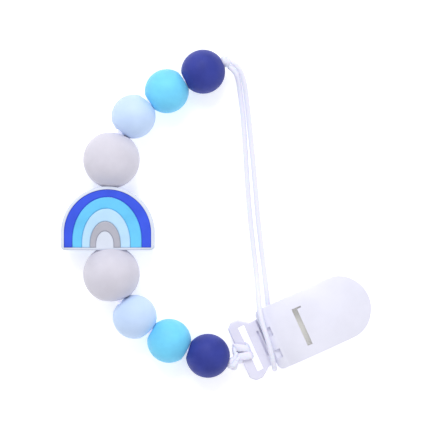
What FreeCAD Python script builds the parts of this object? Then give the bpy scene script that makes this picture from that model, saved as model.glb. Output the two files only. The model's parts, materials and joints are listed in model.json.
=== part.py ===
import FreeCAD, Part
import math
import os

import Sketcher

# A beaded pacifier clip lying flat: a strand of silicone beads round a rainbow bead, a clothing clip at
# one end and a long loop of nylon cord at the other. Millimetres, +Z up, the table is z = 0.

Vector = FreeCAD.Vector
UP = Vector(0, 0, 1)

SIZES = {
    # silicone beads
    "small_ball_radius": 7.3,
    "large_ball_radius": 9.3,
    "bead_hole_radius": 2.45,
    "hole_edge_radius": 0.25,
    "bead_gap": 0.1,
    # rainbow bead, measured from the middle of its base edge
    "rainbow_crown_radius": 15.9,
    "rainbow_height": 21.8,
    "rainbow_thickness": 9.0,
    "rainbow_corner_radius": 1.5,
    "rainbow_edge_radius": 0.8,
    "rainbow_hole_shift": 1.15,
    "rainbow_base_border": 0.9,
    "band_gap": 0.07,
    "band_sink": 0.2,
    "band_edge_radius": 0.4,
    "top_seat_depth": 0.35,
    "base_seat_depth": 1.2,
    # cord
    "cord_radius": 0.9,
    "strand_radius": 0.75,
    "strand_offset": 0.8,
    "knot_radius": 2.4,
    "upper_knot_flat": 1.55,
    "lower_knot_flat": 1.865,
    "knot_gap": 0.15,
    "loop_end_gap": 0.02,
    "hitch_thickness": 1.4,
    "hitch_gap": 0.03,
    "hitch_start": -3.6,
    "hitch_length": 6.4,
    # clip, measured from the joint of webbing loop and neck, along the clip
    "loop_back": 7.35,
    "loop_front": 0.4,
    "loop_half_width": 10.9,
    "loop_back_half_width": 9.2,
    "loop_side_start": 5.6,
    "loop_side_end": 3.1,
    "loop_bottom": 3.6,
    "loop_thickness": 2.0,
    "loop_corner_radius": 1.2,
    "loop_rim_radius": 0.6,
    "webbing_slot_start": 3.95,
    "webbing_slot_width": 2.2,
    "webbing_slot_half_length": 8.2,
    "neck_end": 2.5,
    "neck_half_width": 8.2,
    "neck_root": 0.3,
    "neck_ramp_length": 1.3,
    "neck_overlap": 3.0,
    "neck_slit_middle": 1.6,
    "neck_slit_width": 0.7,
    "neck_slit_half_length": 4.6,
    "neck_slit_depth": 1.2,
    "heel_bottom": 2.1,
    "heel_top": 2.95,
    "ramp_start": 11.6,
    "ramp_end": 13.4,
    "ramp_top_shift": 0.55,
    "ramp_clearance": 0.7,
    "back_plate_thickness": 2.2,
    "back_plate_inset": 0.3,
    "tooth_height": 0.8,
    "tooth_pitch": 2.4,
    "tooth_start_margin": 3.4,
    "tooth_end_margin": 2.0,
    "tooth_side_margin": 0.8,
    "hinge_along": 6.0,
    "hinge_height": 5.1,
    "hinge_bar_radius": 0.9,
    "hinge_clearance": 0.1,
    "hinge_ear_radius": 1.3,
    "hinge_web_half_width": 0.5,
    "hinge_web_root": 0.4,
    "hinge_ear_thickness": 1.2,
    "hinge_bar_half_length": 7.6,
    "hook_outer_radius": 1.8,
    "hook_width": 5.2,
    "hook_middle": 3.6,
    "hook_mouth": 1.5,
    "cover_nose": 3.2,
    "cover_tip": 41.5,
    "cover_half_width": 11.0,
    "cover_wall": 1.3,
    "cover_corner": 2.0,
    "shoulder_start": 31.0,
    "tip_corner_along": 39.3,
    "tip_corner_half_width": 6.55,
    "crown_axis_depth": 30.0,
    "nose_height": 7.0,
    "nose_top_along": 7.0,
    "nose_top_height": 9.0,
    "nose_bulge": 0.35,
    "crown_along": 20.0,
    "crown_height": 10.8,
    "tip_height": 6.0,
    "skirt_gap": 0.4,
    "nose_bottom": 4.7,
    "window_length": 2.1,
    "window_width": 3.2,
    "window_along": 5.1,
    "left_window_across": 2.7,
    "right_window_across": -5.4,
    "window_floor": 7.2,
    "latch_slot_start": 15.35,
    "latch_slot_width": 1.8,
    "latch_slot_low": -7.0,
    "latch_slot_high": 6.6,
    "latch_leg_length": 1.5,
    "latch_leg_width": 0.6,
    # gripping jaw inside the cover
    "jaw_start": 14.8,
    "jaw_end": 35.5,
    "jaw_half_width": 7.5,
    "jaw_bottom": 4.2,
    "jaw_thickness": 1.5,
    "jaw_pin_along": 21.0,
    "jaw_pin_height": 7.2,
    "jaw_pin_radius": 0.9,
    "jaw_pin_half_length": 6.2,
    "jaw_lug_radius": 1.9,
    "jaw_lug_half_width": 3.0,
    "jaw_lug_root_height": 0.5,
    "jaw_post_thickness": 1.2,
    "jaw_inset": 3.0,
}

# How far a shape that only cuts, or is only cut, stands out past its partner.
BEYOND = 5.0

# One tooth's outline: share of the pitch along the clip, share of the tooth's height.
TOOTH = [(0.0, -0.25), (0.8, -0.25), (0.8, 0.0), (0.5, 1.0), (0.3, 1.0), (0.0, 0.0)]

# Each band of the rainbow runs between two arches: half width, rise above the base border, height of the
# straight legs, and how far the arch leans towards -X.
ARCHES = [
    (14.85, 19.85, 5.0, 0.0),
    (11.80, 17.20, 2.5, 0.2),
    (8.25, 13.30, 1.5, 0.5),
    (5.20, 8.95, 1.2, 0.8),
    (2.95, 5.55, 1.0, 0.9),
]
BANDS = ["rainbow_royal_band", "rainbow_sky_band", "rainbow_pale_band", "rainbow_grey_band"]

# The strand leaves the rainbow bead both ways. Each bead: name, radius, height of its middle, direction to
# its middle from the last one, direction of its hole and how much the hole drops, all in degrees.
RAINBOW_MIDDLE = Vector(-35.7, -1.2, 9.35)
UPPER_BEADS = [
    ("grey_bead_upper", "large_ball_radius", 9.35, 90.0, 80.0, 2.0),
    ("pale_blue_bead_upper", "small_ball_radius", 8.2, 63.2, 47.0, 4.5),
    ("sky_blue_bead_upper", "small_ball_radius", 7.35, 37.5, 33.0, 1.5),
    ("navy_bead_upper", "small_ball_radius", 7.35, 28.2, 26.0, 0.0),
]
LOWER_BEADS = [
    ("grey_bead_lower", "large_ball_radius", 9.35, 270.0, 281.0, 2.0),
    ("pale_blue_bead_lower", "small_ball_radius", 8.2, 298.3, 314.0, 4.5),
    ("sky_blue_bead_lower", "small_ball_radius", 7.35, 324.9, 331.0, 1.5),
    ("navy_bead_lower", "small_ball_radius", 7.35, 338.9, 342.0, 0.0),
]
UPPER_KNOT_EXIT = -35.0
CLIP_DIRECTION = 24.4
CLIP_KNOT_SIDE = -2.12

# The free loop: out of the upper knot, over the nose of the clip, round the lower edge of its neck, back
# under the heel and up to the knot again.
LOOP_ROUTE = [
    (6.5, 49.4, 7.2),
    (7.8, 46.3, 5.6),
    (8.4, 41.5, 3.2),
    (9.4, 34.0, 1.4),
    (10.2, 22.0, 0.95),
    (11.3, 4.0, 0.95),
    (12.9, -11.0, 0.95),
    (14.0, -20.0, 2.2),
    (14.5, -26.5, 5.6),
    (14.8, -32.1, 9.2),
    (16.0, -37.6, 10.0),
    (18.0, -43.6, 9.9),
    (19.3, -48.8, 8.9),
    (20.0, -52.1, 7.0),
    (20.4, -53.5, 3.4),
    (20.1, -52.2, 0.95),
    (19.5, -48.0, 0.95),
    (18.8, -40.2, 0.95),
    (18.0, -30.6, 0.95),
    (16.5, -18.0, 0.95),
    (14.6, -2.0, 0.95),
    (13.4, 13.0, 0.95),
    (11.8, 29.5, 1.2),
    (10.7, 39.5, 3.0),
    (9.7, 46.4, 5.5),
    (7.9, 50.7, 7.2),
]

doc = FreeCAD.newDocument("PacifierClip")
sheet = doc.addObject("Spreadsheet::Sheet", "sizes")
for row, (alias, number) in enumerate(SIZES.items(), start=1):
    sheet.set("A" + str(row), alias)
    sheet.set("B" + str(row), str(number))
    sheet.setAlias("B" + str(row), alias)
doc.recompute()

parts = {}


def size(alias):
    return float(sheet.get(alias))


def bind(thing, **expressions):
    """Tie properties of an object to the sheet."""
    for name, expression in expressions.items():
        thing.setExpression(name, expression)


def heading(degrees, drop=0.0):
    """Unit vector at an angle in plan, sinking by drop degrees."""
    flat = math.cos(math.radians(drop))
    turn = math.radians(degrees)
    return Vector(flat * math.cos(turn), flat * math.sin(turn), -math.sin(math.radians(drop)))


def keep(thing, label):
    """Name a finished sub-part."""
    thing.Label = label
    parts[label] = thing
    return thing


def move(thing, along, across, up):
    """Place a primitive by expressions."""
    thing.setExpression("Placement.Base.x", along)
    thing.setExpression("Placement.Base.y", across)
    thing.setExpression("Placement.Base.z", up)


def solid(name, shape):
    """A document object for a shape made with Part's own functions."""
    thing = doc.addObject("Part::Feature", name)
    thing.Shape = shape
    return thing


def box(name, **expressions):
    """A block whose sizes are tied to the sheet."""
    thing = doc.addObject("Part::Box", name)
    bind(thing, **expressions)
    return thing


def rod(name, start, direction, radius, length):
    """A cylinder from start along direction, its sizes tied to the sheet."""
    thing = doc.addObject("Part::Cylinder", name)
    bind(thing, Radius=radius, Height=length)
    thing.Placement = FreeCAD.Placement(start, FreeCAD.Rotation(UP, direction))
    return thing


def cut(name, base, *tools):
    """Base with each tool cut out of it in turn."""
    for number, tool in enumerate(tools):
        step = doc.addObject("Part::Cut", name + "_cut" + str(number))
        step.Base = base
        step.Tool = tool
        base = step
    return base


def fuse(name, *things):
    joined = doc.addObject("Part::MultiFuse", name + "_fused")
    joined.Shapes = list(things)
    return joined


def origin_plane(body, role):
    return [plane for plane in body.Origin.OriginFeatures if plane.Role == role][0]


def body_sketch(body, role):
    """An empty sketch on one of the body's own planes."""
    sketch = body.newObject("Sketcher::SketchObject", body.Name + "_sketch")
    sketch.AttachmentSupport = [(origin_plane(body, role), "")]
    sketch.MapMode = "FlatFace"
    return sketch


# ---------------------------------------------------------------- beads

def ball_bead(label, radius_alias, middle, hole):
    """A ball with a straight hole whose mouths are rounded off; the hole is the body's Z axis."""
    body = doc.addObject("PartDesign::Body", label + "_body")
    sketch = body_sketch(body, "XZ_Plane")
    ball = size(radius_alias)
    rise = math.acos(size("bead_hole_radius") / ball)
    arc = Part.ArcOfCircle(Part.Circle(Vector(0, 0, 0), UP, ball), -rise, rise)
    sketch.addGeometry(arc, False)
    low = arc.StartPoint
    high = arc.EndPoint
    sketch.addGeometry(Part.LineSegment(high, low), False)
    sketch.addConstraint(Sketcher.Constraint("Coincident", 0, 3, -1, 1))
    sketch.addConstraint(Sketcher.Constraint("Coincident", 0, 2, 1, 1))
    sketch.addConstraint(Sketcher.Constraint("Coincident", 1, 2, 0, 1))
    sketch.addConstraint(Sketcher.Constraint("Vertical", 1))
    ball_number = sketch.addConstraint(Sketcher.Constraint("Radius", 0, ball))
    mouth = size("bead_hole_radius")
    hole_number = sketch.addConstraint(Sketcher.Constraint("DistanceX", -1, 1, 1, 1, mouth))
    sketch.setExpression("Constraints[" + str(ball_number) + "]", "sizes." + radius_alias)
    sketch.setExpression("Constraints[" + str(hole_number) + "]", "sizes.bead_hole_radius")
    turned = body.newObject("PartDesign::Revolution", label + "_turned")
    turned.Profile = sketch
    turned.ReferenceAxis = (sketch, ["V_Axis"])
    turned.Angle = 360
    doc.recompute()
    rims = [
        "Edge" + str(number)
        for number, edge in enumerate(turned.Shape.Edges, start=1)
        if isinstance(edge.Curve, Part.Circle) and abs(edge.Curve.Radius - size("bead_hole_radius")) < 1e-6
    ]
    rounded = body.newObject("PartDesign::Fillet", label + "_rounded")
    rounded.Base = (turned, rims)
    bind(rounded, Radius="sizes.hole_edge_radius")
    body.Tip = rounded
    body.Placement = FreeCAD.Placement(middle, FreeCAD.Rotation(UP, hole))
    keep(body, label)


def half_hole(ball):
    """Half the length of a bead's hole."""
    return ball * math.cos(math.asin(size("bead_hole_radius") / ball))


def reach(ball, lean):
    """How far a bead reaches towards its neighbour when its hole leans away from that line."""
    rim = math.asin(size("bead_hole_radius") / ball)
    return ball * math.cos(max(0.0, rim - lean))


def string_beads(beads, sign, seat_alias):
    """Lay one side of the strand out from the rainbow bead; returns the middles, holes and cord corners."""
    mouth = RAINBOW_MIDDLE + Vector(0, sign * size("rainbow_height") / 2, 0)
    placed = []
    corners = []
    for label, radius_alias, height, bearing, hole_bearing, drop in beads:
        ball = size(radius_alias)
        hole = heading(hole_bearing, drop)
        towards = heading(bearing)
        if placed:
            last_ball, last_middle, last_hole = placed[-1][1:]
            lean = towards.getAngle(hole)
            last_lean = towards.getAngle(last_hole)
            spacing = reach(last_ball, last_lean) + reach(ball, lean) + size("bead_gap")
            level = math.sqrt(spacing ** 2 - (height - last_middle.z) ** 2)
            middle = last_middle + towards * level
            middle.z = height
            leaving = last_middle + last_hole * half_hole(last_ball)
        else:
            middle = mouth + towards * (ball + size("bead_gap") - size(seat_alias))
            leaving = mouth
        entering = middle - hole * half_hole(ball)
        corners.append((leaving + entering) / 2)
        placed.append((label, ball, middle, hole))
        ball_bead(label, radius_alias, middle, hole)
    return placed, corners


# ---------------------------------------------------------------- rainbow bead

def arch_edges(arch, growth, foot):
    """Leg, half ellipse and leg of one arch; its feet stand a little above the base border."""
    half_width, rise, leg, lean = arch
    half_width = half_width + growth
    base = size("rainbow_base_border") - size("rainbow_height") / 2
    left_foot = Vector(-half_width - lean, base + foot, 0)
    right_foot = Vector(half_width - lean, base + foot, 0)
    left_spring = Vector(-half_width - lean, base + leg, 0)
    right_spring = Vector(half_width - lean, base + leg, 0)
    apex = Vector(-lean, base + rise + growth, 0)
    centre = Vector(-lean, base + leg, 0)
    if apex.y - centre.y >= half_width:
        oval = Part.Ellipse(apex, left_spring, centre)
    else:
        oval = Part.Ellipse(right_spring, apex, centre)
    start = oval.parameter(right_spring)
    end = oval.parameter(left_spring)
    crown = Part.Edge(oval, start, end if end > start else end + 2 * math.pi)
    edges = [Part.makeLine(right_foot, right_spring), crown, Part.makeLine(left_spring, left_foot)]
    return left_foot, right_foot, edges


def band_block(outer, inner, gap, half_depth):
    """The solid between two arches, with the gap taken off every side."""
    outer_left, outer_right, outer_edges = arch_edges(outer, -gap, gap)
    inner_left, inner_right, inner_edges = arch_edges(inner, gap, gap)
    edges = outer_edges + inner_edges
    edges.append(Part.makeLine(outer_left, inner_left))
    edges.append(Part.makeLine(inner_right, outer_right))
    outline = Part.Wire(Part.__sortEdges__(edges))
    block = Part.Face(outline).extrude(Vector(0, 0, 2 * half_depth))
    block.translate(Vector(0, 0, -half_depth))
    return block


def face_edges(shape, half_depth):
    """Every edge that lies in the front or back face."""
    found = []
    for edge in shape.Edges:
        heights = [vertex.Point.z for vertex in edge.Vertexes]
        if all(abs(abs(height) - half_depth) < 1e-6 for height in heights):
            if heights[0] * heights[-1] > 0:
                found.append(edge)
    return found


def rainbow_block():
    """The white arch-shaped block, before its bands are let in; its middle is at the origin."""
    body = doc.addObject("PartDesign::Body", "rainbow_block")
    sketch = body_sketch(body, "XY_Plane")
    half_width = size("rainbow_crown_radius")
    base = -size("rainbow_height") / 2
    spring = size("rainbow_height") / 2 - size("rainbow_crown_radius")
    crown = Part.Circle(Vector(0, spring, 0), UP, size("rainbow_crown_radius"))
    arc = Part.ArcOfCircle(crown, 0, math.pi)
    sketch.addGeometry(arc, False)
    sketch.addGeometry(Part.LineSegment(Vector(-half_width, spring, 0), Vector(-half_width, base, 0)), False)
    sketch.addGeometry(Part.LineSegment(Vector(-half_width, base, 0), Vector(half_width, base, 0)), False)
    sketch.addGeometry(Part.LineSegment(Vector(half_width, base, 0), Vector(half_width, spring, 0)), False)
    for first, first_end, second, second_end in ((0, 2, 1, 1), (1, 2, 2, 1), (2, 2, 3, 1), (3, 2, 0, 1)):
        sketch.addConstraint(Sketcher.Constraint("Coincident", first, first_end, second, second_end))
    sketch.addConstraint(Sketcher.Constraint("Vertical", 1))
    sketch.addConstraint(Sketcher.Constraint("Horizontal", 2))
    sketch.addConstraint(Sketcher.Constraint("Vertical", 3))
    sketch.addConstraint(Sketcher.Constraint("PointOnObject", 0, 3, -2))
    radius_number = sketch.addConstraint(Sketcher.Constraint("Radius", 0, size("rainbow_crown_radius")))
    depth_number = sketch.addConstraint(Sketcher.Constraint("DistanceY", 2, 1, -1, 1, -base))
    sketch.setExpression("Constraints[" + str(radius_number) + "]", "sizes.rainbow_crown_radius")
    sketch.setExpression("Constraints[" + str(depth_number) + "]", "sizes.rainbow_height / 2")
    pad = body.newObject("PartDesign::Pad", "rainbow_pad")
    pad.Profile = sketch
    pad.Midplane = True
    bind(pad, Length="sizes.rainbow_thickness")
    body.Tip = pad
    doc.recompute()
    return body


def rainbow_bead(upper_grey, lower_grey):
    """White body with a horseshoe channel, four bands in the channel, and one hole through them all."""
    block = rainbow_block()
    half_depth = size("rainbow_thickness") / 2
    base = -size("rainbow_height") / 2
    shape = block.Shape
    feet = []
    for edge in shape.Edges:
        ends = [vertex.Point for vertex in edge.Vertexes]
        if all(abs(end.y - base) < 1e-6 for end in ends) and abs(ends[0].z - ends[-1].z) > 1:
            feet.append(edge)
    shape = shape.makeFillet(size("rainbow_corner_radius"), feet)
    shape = shape.makeFillet(size("rainbow_edge_radius"), face_edges(shape, half_depth))
    white = solid("rainbow_white", shape)
    channel = solid("rainbow_channel", band_block(ARCHES[0], ARCHES[-1], 0, half_depth + BEYOND))
    away = Vector(size("rainbow_hole_shift"), -size("rainbow_height"), 0)
    hole = rod("rainbow_hole", away, Vector(0, 1, 0), "sizes.bead_hole_radius", "2 * sizes.rainbow_height")
    seats = []
    for name, grey in (("top_seat", upper_grey), ("base_seat", lower_grey)):
        seat = doc.addObject("Part::Sphere", name)
        bind(seat, Radius="sizes.large_ball_radius + sizes.bead_gap")
        seat.Placement.Base = grey - RAINBOW_MIDDLE + Vector(size("rainbow_hole_shift"), 0, 0)
        seats.append(seat)
    place = FreeCAD.Placement(RAINBOW_MIDDLE - Vector(size("rainbow_hole_shift"), 0, 0), FreeCAD.Rotation())
    body = cut("rainbow_body", white, channel, hole, *seats)
    body.Placement = place
    keep(body, "rainbow_body")
    for number, name in enumerate(BANDS):
        gap = size("band_gap")
        block = band_block(ARCHES[number], ARCHES[number + 1], gap, half_depth - size("band_sink"))
        rims = face_edges(block, half_depth - size("band_sink"))
        rounded = block.makeFillet(size("band_edge_radius"), rims)
        band = cut(name, solid(name + "_block", rounded), hole)
        band.Placement = place
        keep(band, name)


# ---------------------------------------------------------------- cord

def tube(name, points, radius, share=0.45):
    """A cord through the points: straight runs joined by arcs that take a share of the shorter run."""
    runs = [after - before for before, after in zip(points, points[1:])]
    edges = []
    bends = []
    start = points[0]
    for corner, before, after in zip(points[1:], runs, runs[1:]):
        turn = before.getAngle(after)
        length = share * min(before.Length, after.Length)
        bends.append(length / math.tan(turn / 2))
        entry = corner - before * (length / before.Length)
        leave = corner + after * (length / after.Length)
        inward = (entry + leave) / 2 - corner
        cut_off = math.hypot(length, bends[-1]) - bends[-1]
        middle = corner + inward * (cut_off / inward.Length)
        edges.append(Part.makeLine(start, entry))
        edges.append(Part.Arc(entry, middle, leave).toShape())
        start = leave
    edges.append(Part.makeLine(start, points[-1]))
    route = Part.Wire(edges)
    profile = Part.Wire(Part.makeCircle(radius, points[0], runs[0]))
    shape = route.makePipeShell([profile], True, False)
    expected = math.pi * radius ** 2 * route.Length
    print(name, "length", round(route.Length, 1), "volume over expected", round(shape.Volume / expected, 4))
    print(name, "bend radii", [round(bend, 1) for bend in bends])
    return keep(solid(name, shape), name)


def knot(name, middle, flat, faces):
    """A ball of cord with a flat where each pair of strands enters."""
    ball = doc.addObject("Part::Sphere", name + "_ball")
    bind(ball, Radius="sizes.knot_radius")
    ball.Placement.Base = middle
    caps = []
    for number, face in enumerate(faces):
        start = middle + face * size(flat)
        cap_name = name + "_cap" + str(number)
        caps.append(rod(cap_name, start, face, "2 * sizes.knot_radius", "sizes.knot_radius"))
    keep(cut(name, ball, *caps), name)


def bead_strands(upper, upper_corners, lower, lower_corners):
    """Two strands, one over the other, from knot to knot through every hole."""
    ends = []
    for side in (upper, lower):
        label, ball, middle, hole = side[-1]
        ends.append(middle + hole * (half_hole(ball) + size("knot_gap")))
    route = [ends[0]] + upper_corners[::-1] + lower_corners + [ends[1]]
    for name, lift in (("bead_strand_over", 1), ("bead_strand_under", -1)):
        offset = Vector(0, 0, lift * size("strand_offset"))
        tube(name, [point + offset for point in route], size("strand_radius"), 0.2)
    return ends


def hitch(place):
    """The cord's two turns round the back bar of the webbing loop, as one closed band."""
    thick = "sizes.hitch_thickness"
    back = "-sizes.loop_back - sizes.hitch_gap"
    tall = "sizes.loop_thickness + 2 * sizes.hitch_gap"
    outer = box("hitch_outer")
    bind(outer, Length="sizes.loop_back - sizes.webbing_slot_start + 2 * sizes.hitch_gap + 2 * " + thick)
    bind(outer, Width="sizes.hitch_length", Height=tall + " + 2 * " + thick)
    move(outer, back + " - " + thick, "sizes.hitch_start", "sizes.loop_bottom - sizes.hitch_gap - " + thick)
    inner = box("hitch_inner")
    bind(inner, Length="sizes.loop_back - sizes.webbing_slot_start + 2 * sizes.hitch_gap")
    bind(inner, Width="2 * sizes.hitch_length", Height=tall)
    move(inner, back, "-sizes.hitch_length", "sizes.loop_bottom - sizes.hitch_gap")
    band = cut("clip_hitch", outer, inner)
    band.Placement = place
    keep(band, "clip_hitch")


def pacifier_loop(knot_middle):
    """The free cord, out of the upper knot and back into it."""
    face = knot_middle + heading(UPPER_KNOT_EXIT) * size("upper_knot_flat")
    side = heading(UPPER_KNOT_EXIT + 90) * (size("cord_radius") + size("loop_end_gap"))
    route = [face - side] + [Vector(*point) for point in LOOP_ROUTE] + [face + side]
    return tube("pacifier_loop", route, size("cord_radius"))


# ---------------------------------------------------------------- clip

def cover_outline(inset):
    """Plan of the cover: a straight nose, parallel sides, round shoulders and a blunt round tip."""
    nose = size("cover_nose")
    half = size("cover_half_width")
    corner = size("cover_corner")
    bend = corner * (1 - math.sqrt(0.5))
    shoulder_start = size("shoulder_start")
    tip_corner = size("tip_corner_along")
    tip_half = size("tip_corner_half_width")
    fall = half - tip_half
    radius = ((tip_corner - shoulder_start) ** 2 + fall ** 2) / (2 * fall)
    turn = math.asin((tip_corner - shoulder_start) / radius) / 2
    shoulder = (shoulder_start + radius * math.sin(turn), half - radius + radius * math.cos(turn))
    edges = [
        Part.makeLine(Vector(nose, half - corner, 0), Vector(nose, corner - half, 0)),
        Part.Arc(Vector(tip_corner, tip_half, 0), Vector(size("cover_tip"), 0, 0),
                 Vector(tip_corner, -tip_half, 0)).toShape(),
    ]
    for side in (1, -1):
        start = Vector(nose, side * (half - corner), 0)
        corner_middle = Vector(nose + bend, side * (half - bend), 0)
        side_start = Vector(nose + corner, side * half, 0)
        side_end = Vector(shoulder_start, side * half, 0)
        shoulder_middle = Vector(shoulder[0], side * shoulder[1], 0)
        shoulder_end = Vector(tip_corner, side * tip_half, 0)
        edges.append(Part.Arc(start, corner_middle, side_start).toShape())
        edges.append(Part.makeLine(side_start, side_end))
        edges.append(Part.Arc(side_end, shoulder_middle, shoulder_end).toShape())
    outline = Part.Wire(Part.__sortEdges__(edges))
    if inset > 0:
        outline = outline.makeOffset2D(-inset)
    return outline


def prism(outline, bottom, top):
    block = Part.Face(outline).extrude(Vector(0, 0, top - bottom))
    block.translate(Vector(0, 0, bottom))
    return block


def side_prism(points, half_width):
    """A prism across the clip from its side view, points as (along, height)."""
    corners = [Vector(along, -half_width, height) for along, height in points]
    outline = Part.makePolygon(corners + corners[:1])
    return Part.Face(outline).extrude(Vector(0, 2 * half_width, 0))


def crown(sink):
    """The domed top: a profile along the clip turned about an axis far below it."""
    nose = Vector(size("cover_nose"), 0, size("nose_height") - sink)
    brow = Vector(size("nose_top_along"), 0, size("nose_top_height") - sink)
    top = Vector(size("crown_along"), 0, size("crown_height") - sink)
    tip = Vector(size("cover_tip"), 0, size("tip_height") - sink)
    bulge = (nose + brow) / 2 + Vector(-1, 0, 1) * size("nose_bulge")
    before = nose - Vector(BEYOND, 0, BEYOND)
    after = tip + Vector(BEYOND, 0, -BEYOND)
    axis = Vector(0, 0, -size("crown_axis_depth"))
    edges = [
        Part.makeLine(before, nose),
        Part.Arc(nose, bulge, brow).toShape(),
        Part.Arc(brow, top, tip).toShape(),
        Part.makeLine(tip, after),
        Part.makeLine(after, Vector(after.x, 0, axis.z)),
        Part.makeLine(Vector(after.x, 0, axis.z), Vector(before.x, 0, axis.z)),
        Part.makeLine(Vector(before.x, 0, axis.z), before),
    ]
    profile = Part.Face(Part.Wire(edges))
    profile.rotate(axis, Vector(1, 0, 0), -45)
    return profile.revolve(axis, Vector(1, 0, 0), 90)


def cover_space(inset):
    """The room inside the cover's outer skin, drawn in by inset all round."""
    return prism(cover_outline(inset), -BEYOND, 2 * size("crown_height")).common(crown(inset))


def underside():
    """Everything below the cover's lower edge, which clears the heel and the back plate."""
    gap = size("skirt_gap")
    plate = size("back_plate_thickness") + gap
    heel = size("heel_top") + gap
    ramp = size("ramp_clearance")
    front = size("cover_nose") - BEYOND
    back = size("cover_tip") + BEYOND
    points = [
        (front, -BEYOND), (front, size("nose_bottom")), (size("cover_nose"), size("nose_bottom")),
        (size("hinge_along"), heel), (size("ramp_start") + ramp, heel), (size("ramp_end") + ramp, plate),
        (back, plate), (back, -BEYOND),
    ]
    return side_prism(points, 2 * size("cover_half_width"))


def across_rod(name, along, height, radius, half_length):
    """A bar across the clip."""
    start = Vector(size(along), -size(half_length), size(height))
    return rod(name, start, Vector(0, 1, 0), radius, "2 * sizes." + half_length)


def inner_block(name, along, half_length, sides, half_width, bottom):
    """A block hung from the inside of the crown, centred at along and side."""
    blocks = []
    for middle in sides:
        block = Part.makeBox(2 * half_length, 2 * half_width, 2 * size("crown_height"))
        block.translate(Vector(along - half_length, middle - half_width, bottom))
        blocks.append(block)
    skin = cover_space(size("cover_wall") / 2)
    return [solid(name + str(number), block.common(skin)) for number, block in enumerate(blocks)]


def clip_cover(place):
    """Domed lever: shell, snap hooks on the hinge bar, pin for the jaw, two windows and the latch slot."""
    skin = cover_space(0).cut(cover_space(size("cover_wall"))).cut(underside())
    shell = solid("cover_shell", skin)
    hinge = size("hinge_along")
    hinge_height = size("hinge_height")
    sides = (-size("hook_middle"), size("hook_middle"))
    half_hook = size("hook_width") / 2
    solids = [shell]
    solids += inner_block("hook_root", hinge, size("hook_outer_radius"), sides, half_hook, hinge_height)
    for number, middle in enumerate(sides):
        start = Vector(hinge, middle - half_hook, hinge_height)
        eye_name = "hook_eye" + str(number)
        solids.append(rod(eye_name, start, Vector(0, 1, 0), "sizes.hook_outer_radius", "sizes.hook_width"))
    pin = size("jaw_pin_along")
    post = size("jaw_pin_half_length") - size("jaw_post_thickness") / 2
    half_post = size("jaw_post_thickness") / 2
    bottom = size("jaw_pin_height") - size("jaw_pin_radius")
    solids += inner_block("jaw_post", pin, size("jaw_pin_radius"), (-post, post), half_post, bottom)
    solids.append(across_rod("jaw_pin", "jaw_pin_along", "jaw_pin_height", "sizes.jaw_pin_radius",
                             "jaw_pin_half_length"))
    bore_radius = "sizes.hinge_bar_radius + sizes.hinge_clearance"
    mouth = box("hook_mouth", Length="sizes.hook_mouth", Width="2 * sizes.hook_middle + sizes.hook_width",
                Height="sizes.hook_outer_radius")
    move(mouth, "sizes.hinge_along - sizes.hook_mouth / 2", "-sizes.hook_middle - sizes.hook_width / 2",
         "sizes.hinge_height - sizes.hook_outer_radius")
    bore = across_rod("hook_bore", "hinge_along", "hinge_height", bore_radius, "hinge_bar_half_length")
    tools = [bore, mouth]
    for side in ("left", "right"):
        window = box(side + "_window", Length="sizes.window_length", Width="sizes.window_width",
                     Height="sizes.crown_height")
        move(window, "sizes.window_along - sizes.window_length / 2",
             "sizes." + side + "_window_across - sizes.window_width / 2", "sizes.window_floor")
        tools.append(window)
    slot = box("latch_slot", Length="sizes.latch_slot_width", Height="sizes.crown_height",
               Width="sizes.latch_slot_high - sizes.latch_slot_low")
    move(slot, "sizes.latch_slot_start", "sizes.latch_slot_low", "sizes.jaw_pin_height")
    leg = box("latch_leg", Width="sizes.latch_leg_width", Height="sizes.crown_height",
              Length="sizes.latch_slot_width + sizes.latch_leg_length")
    move(leg, "sizes.latch_slot_start", "sizes.latch_slot_high - sizes.latch_leg_width",
         "sizes.jaw_pin_height")
    tools += [slot, leg]
    cover = cut("clip_cover", fuse("clip_cover", *solids), *tools)
    cover.Placement = place
    keep(cover, "clip_cover")


def teeth(name, start, end, half_width, root, point):
    """A row of ridges across the clip between two places along it."""
    pitch = size("tooth_pitch")
    ridges = []
    for number in range(int((end - start) / pitch)):
        along = start + number * pitch
        corners = [(along + share * pitch, root + rise * (point - root)) for share, rise in TOOTH]
        ridges.append(side_prism(corners, half_width))
    return solid(name, Part.makeCompound(ridges))


def webbing_loop():
    """Flat ring for webbing, its corners and rims rounded, before the slot is cut."""
    bottom = size("loop_bottom")
    back = -size("loop_back")
    front = size("loop_front")
    half = size("loop_half_width")
    narrow = size("loop_back_half_width")
    neck = size("neck_half_width")
    ring = [
        Vector(back, -narrow, 0), Vector(back, narrow, 0), Vector(-size("loop_side_start"), half, 0),
        Vector(-size("loop_side_end"), half, 0), Vector(front, neck, 0), Vector(front, -neck, 0),
        Vector(-size("loop_side_end"), -half, 0), Vector(-size("loop_side_start"), -half, 0),
    ]
    plate = prism(Part.makePolygon(ring + ring[:1]), bottom, bottom + size("loop_thickness"))
    corners = [edge for edge in plate.Edges if is_upright(edge) and edge.Vertexes[0].Point.x < front / 2]
    plate = plate.makeFillet(size("loop_corner_radius"), corners)
    rims = [edge for edge in plate.Edges if not is_upright(edge) and reaches_behind(edge, front / 2)]
    return solid("webbing_loop", plate.makeFillet(size("loop_rim_radius"), rims))


def is_upright(edge):
    """True for an edge that runs from one height to another."""
    ends = [vertex.Point.z for vertex in edge.Vertexes]
    return abs(ends[0] - ends[-1]) > 1e-6


def reaches_behind(edge, along):
    """True if either end of an edge lies behind a place along the clip."""
    return min(vertex.Point.x for vertex in edge.Vertexes) < along


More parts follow.
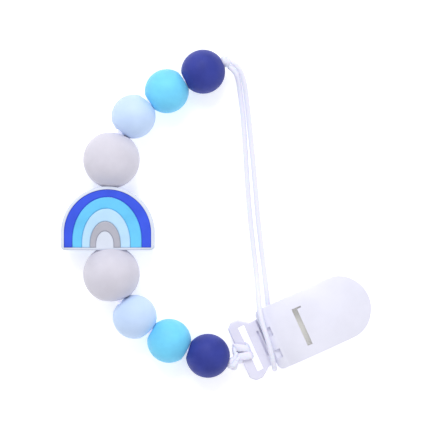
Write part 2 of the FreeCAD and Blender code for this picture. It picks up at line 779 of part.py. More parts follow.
def base_plank():
    """Neck, heel, ramp and back plate in one, from their side view and their plan."""
    bottom = size("loop_bottom")
    top = bottom + size("loop_thickness")
    root = size("loop_front") - size("neck_root")
    heel = size("heel_bottom")
    plate_top = size("back_plate_thickness")
    tip = size("cover_tip") + BEYOND
    neck = size("neck_end")
    shift = size("ramp_top_shift")
    points = [
        (root, bottom), (neck - size("neck_ramp_length"), bottom), (neck, heel), (size("ramp_start"), heel),
        (size("ramp_end"), 0), (tip, 0), (tip, plate_top), (size("ramp_end") + shift, plate_top),
        (size("ramp_start") + shift, size("heel_top")), (neck, size("heel_top")), (neck, top), (root, top),
    ]
    half = size("neck_half_width")
    end = neck + size("neck_overlap")
    corners = [Vector(root, -half, 0), Vector(root, half, 0), Vector(end, half, 0), Vector(end, -half, 0)]
    neck_plan = Part.makePolygon(corners + corners[:1])
    plan = prism(cover_outline(size("back_plate_inset")), -BEYOND, 2 * top)
    plan = plan.fuse(prism(neck_plan, -BEYOND, 2 * top))
    return solid("base_plank", side_prism(points, 2 * size("loop_half_width")).common(plan))


def clip_base(place):
    """Webbing loop, neck, heel and back plate in one, with the hinge bar between two ears."""
    solids = [webbing_loop(), base_plank()]
    ear = size("hinge_bar_half_length") - size("hinge_ear_thickness")
    for number, start in enumerate((-size("hinge_bar_half_length"), ear)):
        eye_start = Vector(size("hinge_along"), start, size("hinge_height"))
        eye = rod("hinge_ear" + str(number), eye_start, Vector(0, 1, 0),
                  "sizes.hinge_ear_radius", "sizes.hinge_ear_thickness")
        web = box("hinge_web" + str(number), Length="2 * sizes.hinge_web_half_width",
                  Width="sizes.hinge_ear_thickness",
                  Height="sizes.hinge_height - sizes.heel_top + sizes.hinge_web_root")
        move(web, "sizes.hinge_along - sizes.hinge_web_half_width", str(start),
             "sizes.heel_top - sizes.hinge_web_root")
        solids += [eye, web]
    solids.append(across_rod("hinge_bar", "hinge_along", "hinge_height", "sizes.hinge_bar_radius",
                             "hinge_bar_half_length"))
    plate_top = size("back_plate_thickness")
    solids.append(teeth("base_teeth", size("jaw_start") + size("tooth_start_margin"),
                        size("jaw_end") - size("tooth_end_margin"),
                        size("jaw_half_width") - size("tooth_side_margin"), plate_top,
                        plate_top + size("tooth_height")))
    slot = box("webbing_slot", Length="sizes.webbing_slot_width", Width="2 * sizes.webbing_slot_half_length",
               Height="4 * sizes.loop_thickness")
    move(slot, "-sizes.webbing_slot_start", "-sizes.webbing_slot_half_length",
         "sizes.loop_bottom - sizes.loop_thickness")
    slit = box("neck_slit", Length="sizes.neck_slit_width", Width="2 * sizes.neck_slit_half_length",
               Height="2 * sizes.neck_slit_depth")
    move(slit, "sizes.neck_slit_middle - sizes.neck_slit_width / 2", "-sizes.neck_slit_half_length",
         "sizes.loop_bottom + sizes.loop_thickness - sizes.neck_slit_depth")
    base = cut("clip_base", fuse("clip_base", *solids), slot, slit)
    base.Placement = place
    keep(base, "clip_base")


def grip_jaw(place):
    """Loose jaw under the cover: a toothed plate with a lug on the cover's pin."""
    bottom = size("jaw_bottom")
    top = bottom + size("jaw_thickness")
    plan = prism(cover_outline(size("jaw_inset")), 0, 2 * top)
    half = size("jaw_half_width")
    plate = side_prism([(size("jaw_start"), bottom), (size("jaw_end"), bottom), (size("jaw_end"), top),
                        (size("jaw_start"), top)], half)
    board = solid("jaw_plate", plate.common(plan))
    lug_start = Vector(size("jaw_pin_along"), -size("jaw_lug_half_width"), size("jaw_pin_height"))
    eye = rod("jaw_lug", lug_start, Vector(0, 1, 0), "sizes.jaw_lug_radius", "2 * sizes.jaw_lug_half_width")
    root = box("jaw_lug_root", Length="2 * sizes.jaw_lug_radius", Width="2 * sizes.jaw_lug_half_width",
               Height="sizes.jaw_pin_height - sizes.jaw_bottom - sizes.jaw_lug_root_height")
    move(root, "sizes.jaw_pin_along - sizes.jaw_lug_radius", "-sizes.jaw_lug_half_width",
         "sizes.jaw_bottom + sizes.jaw_lug_root_height")
    start = size("jaw_start") + size("tooth_start_margin") + size("tooth_pitch") / 2
    ridges = teeth("jaw_teeth", start, size("jaw_end") - size("tooth_end_margin"),
                   half - size("tooth_side_margin"), bottom, bottom - size("tooth_height"))
    bore = across_rod("jaw_bore", "jaw_pin_along", "jaw_pin_height",
                      "sizes.jaw_pin_radius + sizes.hinge_clearance", "jaw_half_width")
    jaw = cut("grip_jaw", fuse("grip_jaw", board, eye, root, ridges), bore)
    jaw.Placement = place
    keep(jaw, "grip_jaw")


# ---------------------------------------------------------------- assembly

upper_side, upper_corners = string_beads(UPPER_BEADS, 1, "top_seat_depth")
lower_side, lower_corners = string_beads(LOWER_BEADS, -1, "base_seat_depth")
rainbow_bead(upper_side[0][2], lower_side[0][2])
strand_ends = bead_strands(upper_side, upper_corners, lower_side, lower_corners)

upper_hole = upper_side[-1][3]
lower_hole = lower_side[-1][3]
upper_knot = strand_ends[0] + upper_hole * size("upper_knot_flat")
lower_knot = strand_ends[1] + lower_hole * size("lower_knot_flat")
knot("stopper_knot_upper", upper_knot, "upper_knot_flat", [-upper_hole, heading(UPPER_KNOT_EXIT)])
knot("stopper_knot_lower", lower_knot, "lower_knot_flat", [-lower_hole, heading(CLIP_DIRECTION)])
pacifier_loop(upper_knot)

clip_turn = FreeCAD.Rotation(UP, CLIP_DIRECTION)
hitch_back = size("loop_back") + size("hitch_gap") + size("hitch_thickness")
knot_touch = lower_knot + heading(CLIP_DIRECTION) * (size("lower_knot_flat") + size("hitch_gap"))
clip_origin = knot_touch - clip_turn.multVec(Vector(-hitch_back, CLIP_KNOT_SIDE, 0))
clip_origin.z = 0
clip_place = FreeCAD.Placement(clip_origin, clip_turn)
hitch(clip_place)
clip_base(clip_place)
clip_cover(clip_place)
grip_jaw(clip_place)

doc.recompute()
for thing in doc.Objects:
    if "Invalid" in thing.State or "Error" in thing.State:
        raise RuntimeError(thing.Name + " failed: " + str(thing.State))
os.makedirs("parts", exist_ok=True)
for label, thing in parts.items():
    if thing.Shape.isNull() or not thing.Shape.isValid():
        raise RuntimeError(label + " has no valid shape")
for label, thing in parts.items():
    thing.Shape.exportStep("parts/" + label + ".step")
    extent = thing.Shape.BoundBox
    corners = (extent.XMin, extent.XMax, extent.YMin, extent.YMax, extent.ZMin, extent.ZMax)
    print(label, len(thing.Shape.Solids), round(thing.Shape.Volume, 1), [round(value, 2) for value in corners])
hinge_middle = clip_place.multVec(Vector(size("hinge_along"), 0, size("hinge_height")))
print("clip origin", clip_origin, "hinge", hinge_middle)
for label, ball, middle, direction in upper_side + lower_side:
    print(label, "middle", middle, "hole", direction)
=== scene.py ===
import json
import math

import bmesh
import bpy
from mathutils import Matrix, Vector


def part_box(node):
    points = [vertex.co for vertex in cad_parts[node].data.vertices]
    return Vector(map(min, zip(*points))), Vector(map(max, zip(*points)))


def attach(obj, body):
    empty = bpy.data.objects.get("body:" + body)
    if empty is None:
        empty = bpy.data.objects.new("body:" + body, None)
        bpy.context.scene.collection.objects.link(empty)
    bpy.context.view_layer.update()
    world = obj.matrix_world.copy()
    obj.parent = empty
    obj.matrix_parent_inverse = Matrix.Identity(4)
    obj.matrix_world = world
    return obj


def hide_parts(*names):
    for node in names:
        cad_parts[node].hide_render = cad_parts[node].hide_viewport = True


# A beaded pacifier clip lying on a pale table, seen from straight above. Metres, in the CAD frame.

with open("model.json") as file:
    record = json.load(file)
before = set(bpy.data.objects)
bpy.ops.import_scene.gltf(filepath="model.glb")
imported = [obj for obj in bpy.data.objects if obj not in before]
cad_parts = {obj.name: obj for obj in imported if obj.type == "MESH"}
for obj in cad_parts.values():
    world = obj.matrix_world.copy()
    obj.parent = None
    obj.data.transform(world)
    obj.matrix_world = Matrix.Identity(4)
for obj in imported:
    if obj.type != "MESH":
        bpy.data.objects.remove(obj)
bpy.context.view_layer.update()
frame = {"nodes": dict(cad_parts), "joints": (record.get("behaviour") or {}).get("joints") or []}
nodes = frame["nodes"]
joints = {joint["name"]: joint for joint in frame["joints"]}
Z = Vector((0, 0, 1))
MM = 0.001

# ---------------------------------------------------------------- camera

CAMERA_HEIGHT = 0.75
BEAD_LEVEL = 0.008
VIEW_WIDTH = 0.1473
SENSOR = 36

scene = bpy.context.scene
camera = bpy.data.objects.new("camera", bpy.data.cameras.new("camera"))
camera.location = (-0.0003, -0.0001, CAMERA_HEIGHT)
camera.data.sensor_width = SENSOR
camera.data.lens = SENSOR * (CAMERA_HEIGHT - BEAD_LEVEL) / VIEW_WIDTH
camera.data.clip_start = 0.05
scene.collection.objects.link(camera)
scene.camera = camera
bpy.context.view_layer.update()

# ---------------------------------------------------------------- cords

CORD = 0.9 * MM
CARRIERS = 4
LOOP = [
    (6.5, 49.4, 7.2),
    (7.8, 46.3, 5.6),
    (8.4, 41.5, 3.2),
    (9.4, 34.0, 1.4),
    (10.2, 22.0, 0.95),
    (11.3, 4.0, 0.95),
    (12.9, -11.0, 0.95),
    (14.0, -20.0, 2.2),
    (14.5, -26.5, 5.6),
    (14.8, -32.1, 9.2),
    (16.0, -37.6, 10.0),
    (18.0, -43.6, 9.9),
    (19.3, -48.8, 8.9),
    (20.0, -52.1, 7.0),
    (20.4, -53.5, 3.4),
    (20.1, -52.2, 0.95),
    (19.5, -48.0, 0.95),
    (18.8, -40.2, 0.95),
    (18.0, -30.6, 0.95),
    (16.5, -18.0, 0.95),
    (14.6, -2.0, 0.95),
    (13.4, 13.0, 0.95),
    (11.8, 29.5, 1.2),
    (10.7, 39.5, 3.0),
    (9.7, 46.4, 5.5),
    (7.9, 50.7, 7.2),
]


def spline(name, points, closed=False):
    """Points read along a smooth NURBS line through space, in metres."""
    data = bpy.data.curves.new(name + "_line", "CURVE")
    data.dimensions = "3D"
    data.resolution_u = 16
    line = data.splines.new("NURBS")
    line.points.add(len(points) - 1)
    for point, place in zip(line.points, points):
        point.co = (*place, 1)
    line.order_u = 3
    line.use_endpoint_u = not closed
    line.use_cyclic_u = closed
    holder = bpy.data.objects.new(name + "_line", data)
    scene.collection.objects.link(holder)
    bpy.context.view_layer.update()
    mesh = bpy.data.meshes.new_from_object(holder)
    read = [vertex.co.copy() for vertex in mesh.vertices]
    bpy.data.objects.remove(holder)
    return read


def evenly(points, step, closed=False):
    """The same line in even steps."""
    if closed:
        points = points + points[:1]
    lengths = [0.0]
    for before, after in zip(points, points[1:]):
        lengths.append(lengths[-1] + (after - before).length)
    count = max(2, round(lengths[-1] / step))
    even = []
    number = 0
    for index in range(count + (0 if closed else 1)):
        along = lengths[-1] * index / count
        while number < len(points) - 2 and lengths[number + 1] < along:
            number += 1
        span = max(lengths[number + 1] - lengths[number], 1e-9)
        even.append(points[number].lerp(points[number + 1], (along - lengths[number]) / span))
    return even, lengths[-1]


def braid(around, along, carriers):
    """How far a point of a braided cord stands out, 0 to 1: two sets of flat yarns crossing."""
    one = math.cos(carriers * around + along)
    two = math.cos(carriers * around - along)
    return max(one, two)


def tube(name, points, radius, material, closed=False, step=0.22 * MM, relief=0.06, sides=20, pitch=2.3,
         wide=None):
    """A braided cord as a mesh along the points, with the turn round it and the length as its UVs.

    wide is a direction in which the cord is pressed broader, and how many times.
    """
    line, length = evenly(points, step, closed)
    count = len(line)
    mesh = bmesh.new()
    uv = mesh.loops.layers.uv.new("cord")
    tangents = []
    for index in range(count):
        before = line[(index - 1) % count] if closed or index else line[0]
        after = line[(index + 1) % count] if closed or index < count - 1 else line[-1]
        tangents.append((after - before).normalized())
    side = tangents[0].orthogonal().normalized()
    sides_of = []
    for tangent in tangents:
        side = (side - tangent * side.dot(tangent)).normalized()
        sides_of.append(side)
    if closed:
        back = (side - tangents[0] * side.dot(tangents[0])).normalized()
        slip = back.angle(sides_of[0])
        if back.cross(sides_of[0]).dot(tangents[0]) < 0:
            slip = -slip
        sides_of = [Matrix.Rotation(slip * i / count, 3, t) @ s
                    for i, (t, s) in enumerate(zip(tangents, sides_of))]
    turns = 2 * math.pi * max(1, round(length / (pitch * radius))) / count
    rings = []
    for index, (place, tangent, side) in enumerate(zip(line, tangents, sides_of)):
        other = tangent.cross(side)
        ring = []
        for corner in range(sides):
            angle = 2 * math.pi * corner / sides
            out = side * math.cos(angle) + other * math.sin(angle)
            lift = 1 + relief * (braid(angle, turns * index, CARRIERS) - 1)
            if not closed:
                end = min(index, count - 1 - index) * step / radius
                lift *= math.sqrt(max(0.04, 1 - max(0.0, 1 - end) ** 2))
            point = out * radius * lift
            if wide:
                point += wide[0] * point.dot(wide[0]) * (wide[1] - 1)
            ring.append(mesh.verts.new(place + point))
        rings.append(ring)
    spans = count if closed else count - 1
    for index in range(spans):
        ring = rings[index]
        following = rings[(index + 1) % count]
        for corner in range(sides):
            beside = (corner + 1) % sides
            face = mesh.faces.new((ring[corner], ring[beside], following[beside], following[corner]))
            face.smooth = True
            marks = ((corner, index), (corner + 1, index), (corner + 1, index + 1), (corner, index + 1))
            for loop, (turn, along) in zip(face.loops, marks):
                loop[uv].uv = (turn / sides, length * along / spans / (2 * math.pi * radius))
    if not closed:
        mesh.faces.new(rings[0][::-1])
        mesh.faces.new(rings[-1])
    data = bpy.data.meshes.new(name)
    mesh.to_mesh(data)
    mesh.free()
    data.materials.append(material)
    made = bpy.data.objects.new(name, data)
    scene.collection.objects.link(made)
    return made


# ---------------------------------------------------------------- materials

def shader(name):
    """A new material, with its tree and its Principled shader."""
    material = bpy.data.materials.new(name)
    material.use_nodes = True
    tree = material.node_tree
    return material, tree, tree.nodes["Principled BSDF"]


def linear(colour):
    """Shader colour from an everyday 0 to 255 one."""
    scaled = [value / 255 for value in colour]
    return [value / 12.92 if value <= 0.04045 else ((value + 0.055) / 1.055) ** 2.4 for value in scaled] + [1]


def noise(tree, scale, detail=3.0, coordinates="Object", rough=0.5, stretch=None):
    place = tree.nodes.new("ShaderNodeTexCoord")
    texture = tree.nodes.new("ShaderNodeTexNoise")
    texture.inputs["Scale"].default_value = scale
    texture.inputs["Detail"].default_value = detail
    texture.inputs["Roughness"].default_value = rough
    source = place.outputs[coordinates]
    if stretch:
        mapping = tree.nodes.new("ShaderNodeMapping")
        mapping.inputs["Scale"].default_value = stretch
        tree.links.new(source, mapping.inputs["Vector"])
        source = mapping.outputs["Vector"]
    tree.links.new(source, texture.inputs["Vector"])
    return texture.outputs["Fac"]


def ramp(tree, value, low, high, start=0.35, end=0.65):
    """Two colours, mixed by a value between start and end."""
    mix = tree.nodes.new("ShaderNodeValToRGB")
    mix.color_ramp.elements[0].position = start
    mix.color_ramp.elements[0].color = low
    mix.color_ramp.elements[1].position = end
    mix.color_ramp.elements[1].color = high
    tree.links.new(value, mix.inputs["Fac"])
    return mix.outputs["Color"]


def spread(tree, value, low, high):
    """A number between low and high."""
    span = tree.nodes.new("ShaderNodeMapRange")
    span.inputs["From Min"].default_value = 0.3
    span.inputs["From Max"].default_value = 0.7
    span.inputs["To Min"].default_value = low
    span.inputs["To Max"].default_value = high
    tree.links.new(value, span.inputs["Value"])
    return span.outputs["Result"]


def bump(tree, height, distance, strength=1.0, under=None):
    relief = tree.nodes.new("ShaderNodeBump")
    relief.inputs["Strength"].default_value = strength
    relief.inputs["Distance"].default_value = distance
    tree.links.new(height, relief.inputs["Height"])
    if under:
        tree.links.new(under, relief.inputs["Normal"])
    return relief.outputs["Normal"]


def silicone(name, colour, depth=0.06, translucent=0.08, sheen=0.12, shine=0.5):
    """Matte food-grade silicone: a dry, faintly dusty skin over a soft, slightly translucent body."""
    material, tree, surface = shader(name)
    base = linear(colour)
    dark = [value * (1 - depth) for value in base[:3]] + [1]
    light = [min(1.0, value * (1 + depth) + 0.004) for value in base[:3]] + [1]
    cloudy = noise(tree, 160, 4)
    grain = noise(tree, 2600, 2)
    tree.links.new(ramp(tree, cloudy, dark, light), surface.inputs["Base Color"])
    tree.links.new(spread(tree, noise(tree, 420, 3), 0.50, 0.62), surface.inputs["Roughness"])
    soft = bump(tree, noise(tree, 380, 2), 0.05 * MM, 0.5)
    tree.links.new(bump(tree, grain, 0.02 * MM, 0.5, soft), surface.inputs["Normal"])
    surface.inputs["IOR"].default_value = 1.41
    surface.inputs["Subsurface Weight"].default_value = translucent
    surface.inputs["Subsurface Radius"].default_value = (1.0, 1.0, 1.0)
    surface.inputs["Subsurface Scale"].default_value = 0.8 * MM
    surface.inputs["Specular IOR Level"].default_value = shine
    surface.inputs["Sheen Weight"].default_value = sheen
    surface.inputs["Sheen Roughness"].default_value = 0.45
    return material


def plastic(name, colour, depth=0.03, rough=(0.30, 0.42), grain=3200, translucent=0.12, glow=0.0):
    """Moulded plastic: a fine spark-eroded skin with faint flow marks."""
    material, tree, surface = shader(name)
    base = linear(colour)
    dark = [value * (1 - depth) for value in base[:3]] + [1]
    light = [min(1.0, value * (1 + depth)) for value in base[:3]] + [1]
    flow = noise(tree, 90, 3, stretch=(1, 1, 3))
    tree.links.new(ramp(tree, flow, dark, light), surface.inputs["Base Color"])
    tree.links.new(spread(tree, noise(tree, 700, 3), *rough), surface.inputs["Roughness"])
    waves = bump(tree, noise(tree, 260, 2), 0.04 * MM, 0.35)
    tree.links.new(bump(tree, noise(tree, grain, 2), 0.012 * MM, 0.6, waves), surface.inputs["Normal"])
    surface.inputs["IOR"].default_value = 1.49
    surface.inputs["Subsurface Weight"].default_value = translucent
    surface.inputs["Subsurface Radius"].default_value = (1.0, 1.0, 1.0)
    surface.inputs["Subsurface Scale"].default_value = 1.0 * MM
    # Painted light: with glow above 0 the part glows with its own colour, though it is no lamp.
    surface.inputs["Emission Color"].default_value = base
    surface.inputs["Emission Strength"].default_value = glow
    return material


def nylon(name, colour, glow=0.04):
    """Braided nylon: satin yarns with fine filaments along them, darker where the filament bump is low, which
    is painted shade in the grooves, and with a faint painted glow.
    """
    material, tree, surface = shader(name)
    base = linear(colour)
    dark = [value * 0.86 for value in base[:3]] + [1]
    filaments = noise(tree, 9, 4, "UV", 0.7, (3, 26, 1))
    # Painted shade: the filament noise that raises the bump also darkens the colour where it is low, in the
    # grooves between filaments.
    tree.links.new(ramp(tree, filaments, dark, base, 0.3, 0.6), surface.inputs["Base Color"])
    tree.links.new(spread(tree, noise(tree, 500, 3), 0.46, 0.62), surface.inputs["Roughness"])
    tree.links.new(bump(tree, filaments, 0.06 * MM, 0.55), surface.inputs["Normal"])
    surface.inputs["Sheen Weight"].default_value = 0.25
    surface.inputs["Sheen Roughness"].default_value = 0.4
    surface.inputs["Subsurface Weight"].default_value = 0.1
    surface.inputs["Subsurface Scale"].default_value = 0.6 * MM
    # Painted light: the cord glows with its own colour, though it is no lamp, so it looks brighter.
    surface.inputs["Emission Color"].default_value = base
    surface.inputs["Emission Strength"].default_value = glow
    return material


NAVY = silicone("silicone_navy", (47, 58, 148), 0.08, 0.02, 0.05, 0.35)
SKY = silicone("silicone_sky", (112, 209, 252))
PALE = silicone("silicone_pale_blue", (197, 219, 253), 0.03)
GREY = silicone("silicone_grey", (211, 208, 221), 0.03)
WHITE = silicone("silicone_white", (214, 221, 237), 0.03)
ROYAL = silicone("silicone_royal", (48, 82, 224), 0.06, 0.04)
BAND_SKY = silicone("silicone_band_sky", (100, 196, 244))
BAND_PALE = silicone("silicone_band_pale", (184, 220, 250), 0.03)
BAND_GREY = silicone("silicone_band_grey", (177, 177, 190), 0.04)
SHELL = plastic("clip_white", (229, 229, 244))
# The frame's faint glow is painted light that lifts its shade a little.
FRAME_WHITE = plastic("clip_frame_white", (223, 222, 239), 0.04, (0.28, 0.4), 3200, 0.3, 0.03)
# The jaw glows with painted light, which lifts the shade it sits in behind the cover's slot.
JAW_PAINTED_LIGHT = plastic("jaw_beige_painted_light", (240, 239, 232), 0.05, (0.36, 0.5), 2400, 0.12, 0.2)
NYLON = nylon("nylon_white", (236, 237, 254))
# The strands between the beads glow strongly. This is painted light, so the strand seen in the shaded gap
# between pressed beads shows white instead of shade.
INNER_NYLON_PAINTED_LIGHT = nylon("nylon_between_beads_painted_light", (236, 237, 254), 0.45)

# ---------------------------------------------------------------- the free loop

def middle_of(node):
    return Vector([sum(pair) / 2 for pair in zip(*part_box(node))])


upper_knot = middle_of("stopper_knot_upper")
lower_knot = middle_of("stopper_knot_lower")
start = Vector((4.09, 51.14, 7.35)) * MM
end = Vector((5.15, 52.64, 7.35)) * MM
route = [start] + [Vector(point) * MM for point in LOOP] + [end]
loop_line, loop_length = evenly(spline("pacifier_loop", route), 0.5 * MM)
loop = tube("pacifier_loop_cord", loop_line, CORD, NYLON)
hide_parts("pacifier_loop")
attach(loop, "root")

# ---------------------------------------------------------------- beads

HOLE = 1.5 * MM
LIP = 0.4 * MM
SMALL = 7.56 * MM
LARGE = 9.68 * MM
CONTACT_GAP = 0.02 * MM
EDGE_BLEND = 0.12 * MM
EDGE_DIP = 0.03 * MM


def ball(name, joint, radius, before, after, material):
    """A soft ball turned about its hole, pressed flat where it meets the neighbours on each side."""
    middle = Vector(joints[joint]["pos_m"])
    axis = Vector(joints[joint]["axis"]).normalized()
    presses = []
    for way, neighbour in ((-1, before), (1, after)):
        if neighbour is None:
            continue
        other, other_radius = neighbour
        towards = Vector(other) - middle
        depth = (towards.length + radius - other_radius) / 2 - CONTACT_GAP
        lean = towards.angle(axis * way)
        presses.append((way, depth, lean))
    profile = []
    steps = 72
    for index in range(steps + 1):
        angle = math.pi * index / steps
        reach = radius
        for way, depth, lean in presses:
            off = (angle if way > 0 else math.pi - angle) - lean
            if abs(off) < 1.2:
                pressed = depth / math.cos(off)
                share = max(0.0, min(1.0, 0.5 + (reach - pressed) / EDGE_BLEND))
                reach = reach + (pressed - reach) * share - EDGE_DIP * share * (1 - share)
        profile.append((reach * math.cos(angle), reach * math.sin(angle)))
    mouth = HOLE + LIP
    outside = [point for point in profile if point[1] > mouth]
    turned = []
    for sign, point in ((1, outside[0]), (-1, outside[-1])):
        corners = []
        for index in range(1, 6):
            angle = math.pi / 2 * index / 5
            corners.append((point[0] - sign * LIP * (1 - math.cos(angle)), mouth - LIP * math.sin(angle)))
        turned.append(corners)
    closed = outside + turned[1]
    for share in (0.25, 0.5, 0.75):
        high, low = turned[1][-1][0], turned[0][-1][0]
        closed.append((high + (low - high) * share, HOLE + 0.5 * MM * math.sin(math.pi * share)))
    closed += turned[0][::-1]
    across = axis.orthogonal().normalized()
    other = axis.cross(across)
    return lathe(name, closed, middle, axis, across, other, 80, material)


def lathe(name, closed, middle, axis, across, other, sides, material):
    """A closed profile of (along, out) points turned about an axis."""
    mesh = bmesh.new()
    rings = []
    for side in range(sides):
        angle = 2 * math.pi * side / sides
        out = across * math.cos(angle) + other * math.sin(angle)
        rings.append([mesh.verts.new(middle + axis * along + out * away) for along, away in closed])
    for side in range(sides):
        ring = rings[side]
        following = rings[(side + 1) % sides]
        for index in range(len(closed)):
            beside = (index + 1) % len(closed)
            face = mesh.faces.new((ring[index], ring[beside], following[beside], following[index]))
            face.smooth = True
    bmesh.ops.recalc_face_normals(mesh, faces=mesh.faces)
    return finished(name, mesh, material)


def finished(name, mesh, material):
    data = bpy.data.meshes.new(name)
    mesh.to_mesh(data)
    mesh.free()
    data.materials.append(material)
    made = bpy.data.objects.new(name, data)
    scene.collection.objects.link(made)
    return made


def place_of(joint):
    return Vector(joints[joint]["pos_m"])


STRING = [
    ("navy", "upper", SMALL, NAVY), ("sky_blue", "upper", SMALL, SKY), ("pale_blue", "upper", SMALL, PALE),
    ("grey", "upper", LARGE, GREY), None, ("grey", "lower", LARGE, GREY), ("pale_blue", "lower", SMALL, PALE),
    ("sky_blue", "lower", SMALL, SKY), ("navy", "lower", SMALL, NAVY),
]
for index, bead in enumerate(STRING):
    if bead is None:
        continue
    colour, side, radius, material = bead
    neighbours = []
    for step in ((1, -1) if side == "upper" else (-1, 1)):
        beside = STRING[index + step] if 0 <= index + step < len(STRING) else None
        if beside is None:
            neighbours.append(None)
        else:
            neighbours.append((place_of(beside[0] + "_" + beside[1] + "_spin"), beside[2]))
    made = ball(colour + "_bead_" + side + "_soft", colour + "_" + side + "_spin", radius, *neighbours,
                material)
    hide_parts(colour + "_bead_" + side)
    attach(made, colour + "_" + side)

# ---------------------------------------------------------------- strands through the beads, knots and hitch

STRAND = 0.66 * MM
TWISTS = 9
thread = [upper_knot]
for bead in STRING:
    if bead is None:
        middle = place_of("rainbow_spin")
        thread += [middle + Vector((0, 10.6 * MM, 0)), middle - Vector((0, 10.6 * MM, 0))]
        continue
    joint = joints[bead[0] + "_" + bead[1] + "_spin"]
    along = Vector(joint["axis"]).normalized() * (bead[2] - 0.2 * MM)
    middle = Vector(joint["pos_m"])
    if bead[1] == "upper":
        thread += [middle + along, middle - along]
    else:
        thread += [middle - along, middle + along]
thread.append(lower_knot)
thread_line, thread_length = evenly(spline("bead_thread", thread), 0.5 * MM)
for number, node in enumerate(("bead_strand_over", "bead_strand_under")):
    twisted = []
    for index, place in enumerate(thread_line):
        ahead = thread_line[min(index + 1, len(thread_line) - 1)]
        behind = thread_line[max(index - 1, 0)]
        tangent = (ahead - behind).normalized()
        sideways = tangent.cross(Z).normalized()
        turn = 2 * math.pi * index / len(thread_line) * TWISTS + math.pi * number
        offset = sideways * math.cos(turn) + sideways.cross(tangent) * math.sin(turn)
        twisted.append(place + offset * STRAND)
    strand = tube(node + "_braid", twisted, STRAND, INNER_NYLON_PAINTED_LIGHT, step=0.4 * MM, sides=14)
    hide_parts(node)
    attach(strand, "root")


def stopper(name, node, middle, axis, turn, width, height):
    """An overhand knot pulled tight: a knotted ring of cord squeezed along its axis."""
    across = axis.cross(Z).normalized()
    up = across.cross(axis)
    across, up = (across * math.cos(turn) + up * math.sin(turn),
                  up * math.cos(turn) - across * math.sin(turn))
    line = []
    for index in range(90):
        angle = 2 * math.pi * index / 90
        out = 2 + math.cos(3 * angle)
        line.append(middle + across * width * out * math.cos(2 * angle)
                    + up * width * out * math.sin(2 * angle) + axis * height * math.sin(3 * angle))
    made = tube(name, line, 1.0 * MM, NYLON, closed=True, step=0.2 * MM, sides=22)
    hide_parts(node)
    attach(made, "root")
    return made


stopper("knot_upper_cord", "stopper_knot_upper", upper_knot,
        Vector(joints["navy_upper_spin"]["axis"]).normalized(), 0.4, 0.43 * MM, 0.72 * MM)
stopper("knot_lower_cord", "stopper_knot_lower", lower_knot,
        Vector(joints["navy_lower_spin"]["axis"]).normalized(), 1.3, 0.43 * MM, 0.95 * MM)

hinge = joints["cover_hinge"]
ACROSS = -Vector(hinge["axis"]).normalized()
ALONG = ACROSS.cross(Z)
CLIP = Vector((hinge["pos_m"][0], hinge["pos_m"][1], 0)) - ALONG * 6.0 * MM


def on_clip(along, across, up):
    """A point given in millimetres along, across and above the clip."""
    return CLIP + (ALONG * along + ACROSS * across + Z * up) * MM


def joined(name, pieces):
    """Several meshes as one piece."""
    mesh = bmesh.new()
    for piece in pieces:
        mesh.from_mesh(piece.data)
    material = pieces[0].data.materials[0]
    for piece in pieces:
        bpy.data.objects.remove(piece)
    return finished(name, mesh, material)


turns = []
for across, slant in ((1.5, -1.3), (-1.55, -0.6)):
    ring = []
    for along, up in ((-7.8, 3.6), (-7.4, 2.95), (-5.8, 2.9), (-3.9, 2.95), (-3.5, 3.4), (-3.4, 4.6),
                      (-3.5, 5.9), (-3.9, 6.35), (-5.8, 6.55), (-7.3, 6.35), (-7.8, 5.8), (-7.9, 4.6)):
        lean = slant * (along + 5.6) / 2.4 * max(0.0, min(1.0, (up - 3.0) / 3.0))
        ring.append(on_clip(along, across + lean, up))
    turns.append(tube("turn", spline("turn", ring, closed=True), 0.58 * MM, NYLON, closed=True, sides=24,
                      wide=(ACROSS, 2.5)))
bight = [on_clip(*point) for point in (
    (-6.8, 3.0, 5.4), (-7.8, 2.8, 5.8), (-8.4, 1.7, 6.3), (-8.5, 0.2, 6.5), (-8.6, -1.2, 6.4),
    (-8.5, -2.2, 6.0), (-8.0, -2.8, 5.5), (-7.0, -2.7, 5.0))]
turns.append(tube("bight", spline("bight", bight), 0.75 * MM, NYLON, sides=18))
for across in (0.6, -1.3):
    lead = [lower_knot] + [on_clip(*point) for point in (
        (-9.5, across * 0.5 - 1.0, 7.0), (-8.6, across * 0.8 - 0.4, 6.7), (-7.5, across, 6.1))]
    turns.append(tube("lead", spline("lead", lead), 0.8 * MM, NYLON, sides=18))
hitch = joined("clip_hitch_cord", turns)
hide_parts("clip_hitch")
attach(hitch, "root")

# ---------------------------------------------------------------- rainbow bands

FILL = 0.05 * MM
RIM = 0.32 * MM


def band(node, swell, material):
    """A coloured band poured into the rainbow: it fills its channel and its rim is rounded over."""
    mesh = bmesh.new()
    mesh.from_mesh(nodes[node].data)
    mesh.transform(nodes[node].matrix_world)
    bmesh.ops.remove_doubles(mesh, verts=mesh.verts, dist=0.001 * MM)
    flat = [edge for edge in mesh.edges if len(edge.link_faces) == 2 and edge.calc_face_angle(9) < 0.002]
    bmesh.ops.dissolve_edges(mesh, edges=flat, use_verts=False)
    mesh.normal_update()
    for vertex in mesh.verts:
        side = sum((face.normal for face in vertex.link_faces if abs(face.normal.z) < 0.5), Vector())
        if side.length > 0:
            vertex.co += side.normalized() * FILL
    top = max(vertex.co.z for vertex in mesh.verts) - 0.01 * MM
    rim = [edge for edge in mesh.edges if len(edge.link_faces) == 2 and edge.calc_face_angle(0) > 0.7
           and all(vertex.co.z > top for vertex in edge.verts)]
    bmesh.ops.bevel(mesh, geom=rim, offset=swell, segments=4, profile=0.5, affect="EDGES", clamp_overlap=True)
    for face in mesh.faces:
        face.smooth = face.normal.z < 0.999
    made = finished(node + "_poured", mesh, material)
    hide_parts(node)
    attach(made, "rainbow")


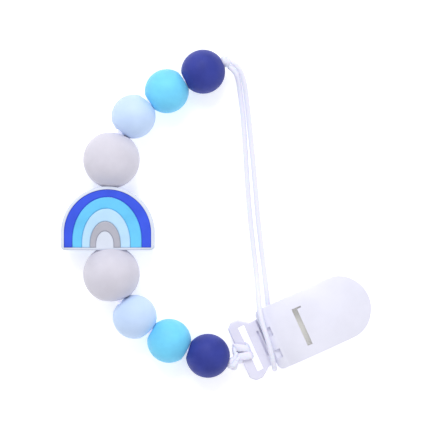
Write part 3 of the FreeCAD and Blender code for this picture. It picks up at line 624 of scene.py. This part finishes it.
for name, material, slot in (("royal", ROYAL, "silicone_royal"), ("sky", BAND_SKY, "silicone_band_sky"),
                             ("pale", BAND_PALE, "silicone_band_pale"),
                             ("grey", BAND_GREY, "silicone_band_grey")):
    band("rainbow_" + name + "_band", RIM, material)

# ---------------------------------------------------------------- repaint the CAD nodes that stay

STAYING = {
    "rainbow_body": WHITE, "clip_cover": SHELL, "clip_base": FRAME_WHITE, "grip_jaw": JAW_PAINTED_LIGHT,
}
for name, material in STAYING.items():
    for slot in nodes[name].material_slots:
        slot.material = material

# ---------------------------------------------------------------- floor and light

# The soft beads reach a little lower than the frame's base plane, so the table is drawn just under them.
TABLE_DROP = 0.34 * MM
floor_material, floor_tree, floor_surface = shader("table_white")
floor_tint = ramp(floor_tree, noise(floor_tree, 30, 3), linear((250, 250, 251)), linear((252, 252, 252)))
floor_tree.links.new(floor_tint, floor_surface.inputs["Base Color"])
floor_surface.inputs["Roughness"].default_value = 0.9
floor_surface.inputs["Specular IOR Level"].default_value = 0.1
floor_surface.inputs["Emission Color"].default_value = (1, 1, 1, 1)
floor_surface.inputs["Emission Strength"].default_value = 0.35
floor_data = bpy.data.meshes.new("table")
floor_data.from_pydata([(-3, -3, 0), (3, -3, 0), (3, 3, 0), (-3, 3, 0)], [], [(0, 1, 2, 3)])
floor_data.materials.append(floor_material)
floor = bpy.data.objects.new("table", floor_data)
floor.location.z = -TABLE_DROP
scene.collection.objects.link(floor)

world = bpy.data.worlds.new("studio")
world.use_nodes = True
world.node_tree.nodes["Background"].inputs["Color"].default_value = (1.0, 1.0, 1.0, 1)
world.node_tree.nodes["Background"].inputs["Strength"].default_value = 0.62
scene.world = world


def area(name, place, aim, width, power, colour=(1, 1, 1)):
    light = bpy.data.lights.new(name, "AREA")
    light.shape = "SQUARE"
    light.size = width
    light.energy = power
    light.color = colour
    holder = bpy.data.objects.new(name, light)
    holder.location = place
    holder.rotation_euler = (Vector(aim) - Vector(place)).to_track_quat("-Z", "Y").to_euler()
    scene.collection.objects.link(holder)


area("window", (-0.12, 0.62, 0.72), (0, 0, 0), 0.5, 4.7)
area("fill", (0.3, -0.5, 0.8), (0, 0, 0), 0.6, 1.5)
scene.view_settings.view_transform = "Standard"
scene.view_settings.look = "None"
